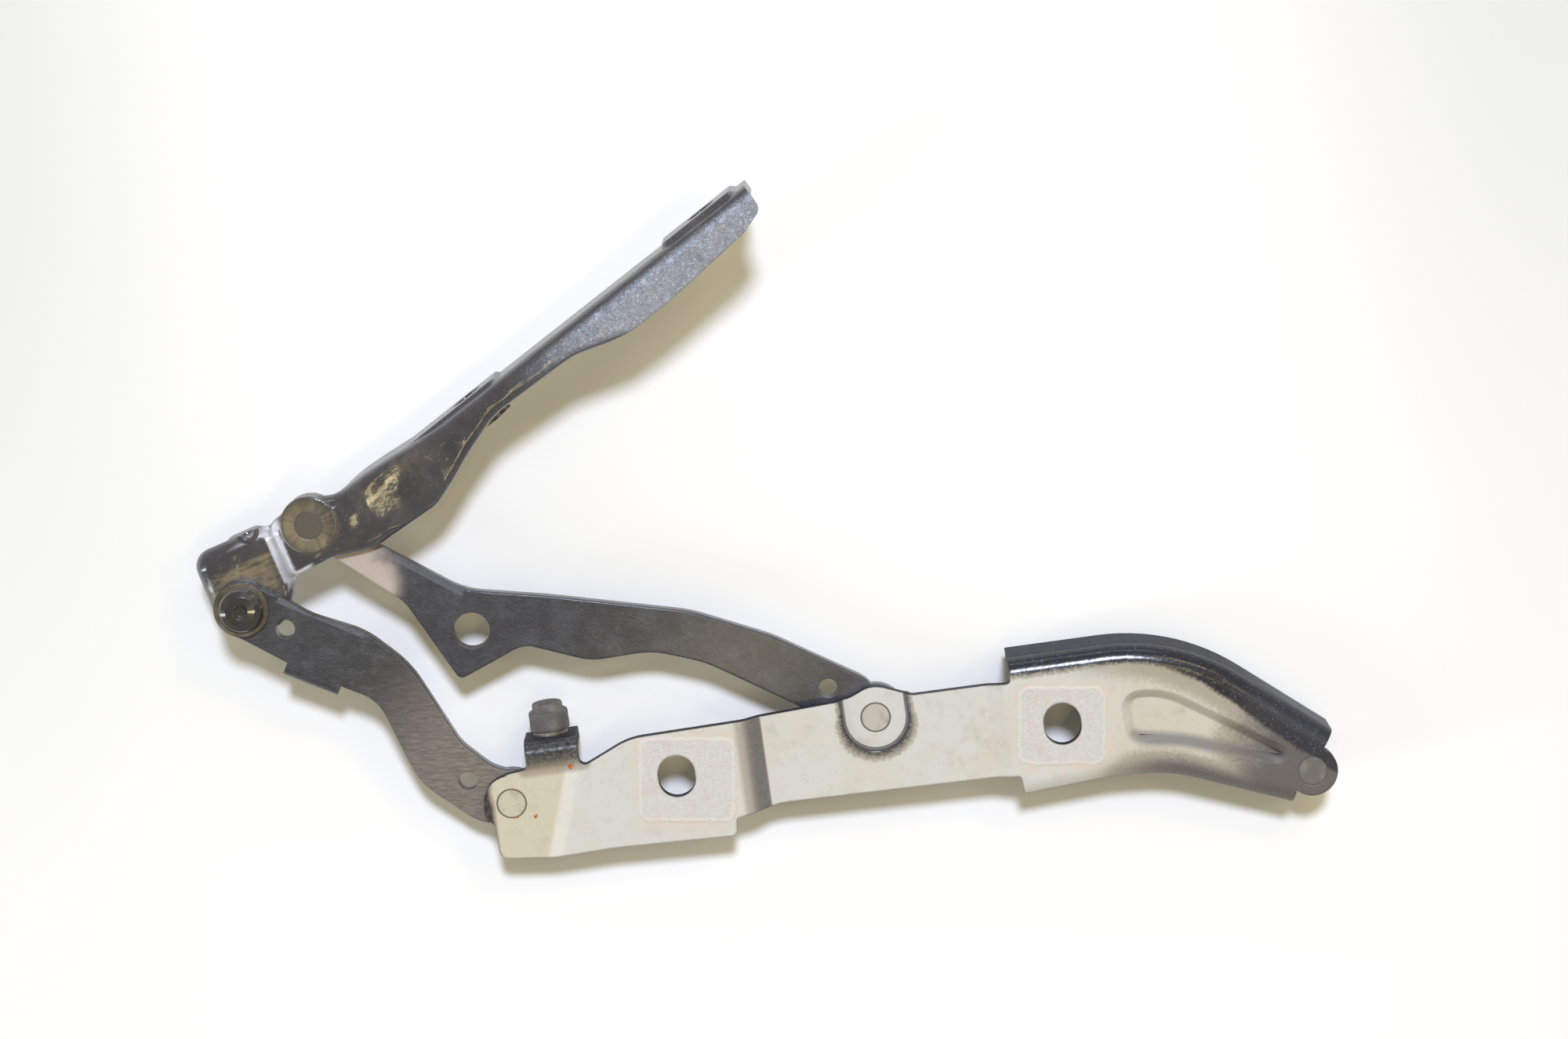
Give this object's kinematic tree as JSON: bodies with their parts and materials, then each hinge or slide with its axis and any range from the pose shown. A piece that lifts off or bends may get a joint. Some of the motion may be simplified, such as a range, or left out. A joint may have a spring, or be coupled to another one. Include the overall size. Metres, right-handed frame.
{
  "type": "boot lid hinge",
  "caption": "Cranked boot lid hinge with a bolt-on body bracket, flat riveted links, a flanged lid arm, a rubber bump stop and a ball stud for a gas strut.",
  "frame": {"origin": "midway between the body bracket's two bolt slots, on its bolting face", "axes": "+X along the bolt line towards the bracket's strut end, +Y across the bracket towards the lid arm, +Z out of the bolting face; the links, the arm and the bump stop lie below it"},
  "size_m": [0.2849, 0.1772, 0.0227],
  "materials": {
    "bracket_paint": "light warm grey primer, satin",
    "arm_paint": "gloss black",
    "link_paint": "worn satin black",
    "rivet_steel": "turned, dull",
    "bush_bronze": "dull sintered bronze",
    "rubber": "matte"
  },
  "bodies": {
    "root": {"body_bracket": "bracket_paint", "short_link_foot_rivet": "bracket_paint", "short_link_foot_washer": "rivet_steel", "long_link_foot_rivet": "bracket_paint", "long_link_foot_washer": "rivet_steel", "strut_ball_stud": "rivet_steel", "bump_stop_stem": "rivet_steel", "bump_stop_rubber": "rubber"},
    "short_link": {"short_link": "link_paint", "short_link_foot_bush": "bush_bronze", "short_link_head_bush": "bush_bronze"},
    "lid_arm": {"lid_arm": "arm_paint", "lid_nut_inner": "arm_paint", "lid_nut_outer": "arm_paint", "short_link_head_rivet": "arm_paint", "short_link_head_washer": "bush_bronze", "long_link_head_rivet": "arm_paint"},
    "long_link": {"long_link": "link_paint", "long_link_foot_bush": "bush_bronze", "long_link_head_bush": "bush_bronze", "long_link_head_pin": "rivet_steel", "long_link_head_washer": "rivet_steel"}
  },
  "joints": [
    {"name": "short_link_pivot", "type": "hinge", "parent": "root", "child": "short_link", "pos_m": [-0.0933, -0.0013, 0], "axis": [0, 0, 1], "range_deg": [-27.8, 10.5]},
    {"name": "lid_arm_pivot", "type": "hinge", "parent": "short_link", "child": "lid_arm", "pos_m": [-0.15484, 0.05792, 0], "axis": [0, 0, 1], "range_deg": [-23.2, 62.5]},
    {"name": "long_link_pivot", "type": "hinge", "parent": "root", "child": "long_link", "pos_m": [0.0027, 0.0075, 0], "axis": [0, 0, 1], "range_deg": [-15, 5.8]}
  ],
  "couplings": [
    {"joint": "short_link_pivot", "follows": "lid_arm_pivot", "ratio": -0.4404},
    {"joint": "long_link_pivot", "follows": "lid_arm_pivot", "ratio": -0.2356}
  ]
}
